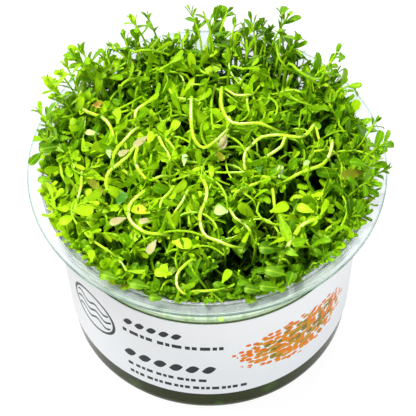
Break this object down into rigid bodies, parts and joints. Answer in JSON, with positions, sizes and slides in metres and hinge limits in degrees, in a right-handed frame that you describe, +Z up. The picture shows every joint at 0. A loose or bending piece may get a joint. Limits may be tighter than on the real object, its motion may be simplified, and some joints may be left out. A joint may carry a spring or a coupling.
{
  "type": "rotala aquarium plant in a tissue culture cup",
  "caption": "Dense mat of rotala stems with small opposite leaves, growing on nutrient gel in a clear flanged cup with a wrap label.",
  "frame": {"origin": "centre of the cup's flat base, on the surface it stands on", "axes": "+Z up along the cup's axis; the front of the label faces -Y; +X is to the right seen from the front"},
  "size_m": [0.1, 0.0998, 0.0824],
  "materials": {
    "clear_plastic": "gloss",
    "label_film": "satin",
    "nutrient_gel": "satin",
    "lime_leaf": "satin",
    "bright_leaf": "satin",
    "deep_leaf": "satin"
  },
  "bodies": {
    "root": {"bunch_centre": "lime_leaf", "bunch_inner_01": "bright_leaf", "bunch_inner_02": "deep_leaf", "bunch_inner_03": "lime_leaf", "bunch_inner_04": "bright_leaf", "bunch_inner_05": "deep_leaf", "bunch_inner_06": "lime_leaf", "bunch_middle_01": "bright_leaf", "bunch_middle_02": "deep_leaf", "bunch_middle_03": "lime_leaf", "bunch_middle_04": "bright_leaf", "bunch_middle_05": "deep_leaf", "bunch_middle_06": "lime_leaf", "bunch_middle_07": "bright_leaf", "bunch_middle_08": "deep_leaf", "bunch_middle_09": "lime_leaf", "bunch_middle_10": "bright_leaf", "bunch_middle_11": "deep_leaf", "bunch_middle_12": "lime_leaf", "bunch_middle_13": "bright_leaf", "bunch_outer_01": "deep_leaf", "bunch_outer_02": "lime_leaf", "bunch_outer_03": "bright_leaf", "bunch_outer_04": "deep_leaf", "bunch_outer_05": "lime_leaf", "bunch_outer_06": "bright_leaf", "bunch_outer_07": "deep_leaf", "bunch_outer_08": "lime_leaf", "bunch_outer_09": "bright_leaf", "bunch_outer_10": "deep_leaf", "bunch_outer_11": "lime_leaf", "bunch_outer_12": "bright_leaf", "bunch_outer_13": "deep_leaf", "bunch_outer_14": "lime_leaf", "bunch_outer_15": "bright_leaf", "bunch_outer_16": "deep_leaf", "bunch_outer_17": "lime_leaf", "bunch_outer_18": "bright_leaf", "bunch_outer_19": "deep_leaf", "bunch_outer_20": "lime_leaf", "cup": "clear_plastic", "label": "label_film", "nutrient_gel": "nutrient_gel"}
  },
  "joints": []
}
